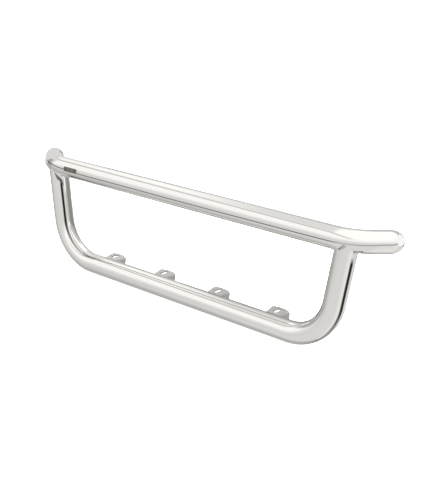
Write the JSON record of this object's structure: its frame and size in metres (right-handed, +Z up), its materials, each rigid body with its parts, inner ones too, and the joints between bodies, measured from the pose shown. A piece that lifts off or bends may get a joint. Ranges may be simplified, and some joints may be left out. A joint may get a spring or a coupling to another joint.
{
  "type": "front grille guard",
  "caption": "Polished stainless tube guard for a truck front: swept-back upper bar, U-shaped lower bar and slotted lamp brackets.",
  "frame": {"origin": "centre of the bounding box, midway between the two end caps", "axes": "+X along the guard to its right-hand end as seen from in front, +Y back towards the truck, +Z up"},
  "size_m": [1.313, 0.1312, 0.3478],
  "materials": {
    "polished_tube": "mirror-polished stainless steel",
    "brushed_sheet": "matt brushed stainless steel",
    "weld_bead": "ground and brushed weld metal",
    "badge_plate": "dark satin plate, no lettering"
  },
  "bodies": {
    "root": {"upper_tube": "polished_tube", "lower_tube": "polished_tube", "end_cap_left": "polished_tube", "end_cap_right": "polished_tube", "cap_weld_left": "weld_bead", "cap_weld_right": "weld_bead", "joint_weld_left": "weld_bead", "joint_weld_right": "weld_bead", "lamp_bracket_1": "brushed_sheet", "bracket_weld_1_left": "weld_bead", "bracket_weld_1_right": "weld_bead", "lamp_bracket_2": "brushed_sheet", "bracket_weld_2_left": "weld_bead", "bracket_weld_2_right": "weld_bead", "lamp_bracket_3": "brushed_sheet", "bracket_weld_3_left": "weld_bead", "bracket_weld_3_right": "weld_bead", "lamp_bracket_4": "brushed_sheet", "bracket_weld_4_left": "weld_bead", "bracket_weld_4_right": "weld_bead", "boss_upper_left": "brushed_sheet", "boss_weld_upper_left": "weld_bead", "boss_upper_right": "brushed_sheet", "boss_weld_upper_right": "weld_bead", "boss_lower_left": "brushed_sheet", "boss_weld_lower_left": "weld_bead", "boss_lower_right": "brushed_sheet", "boss_weld_lower_right": "weld_bead", "badge": "badge_plate"}
  },
  "joints": []
}
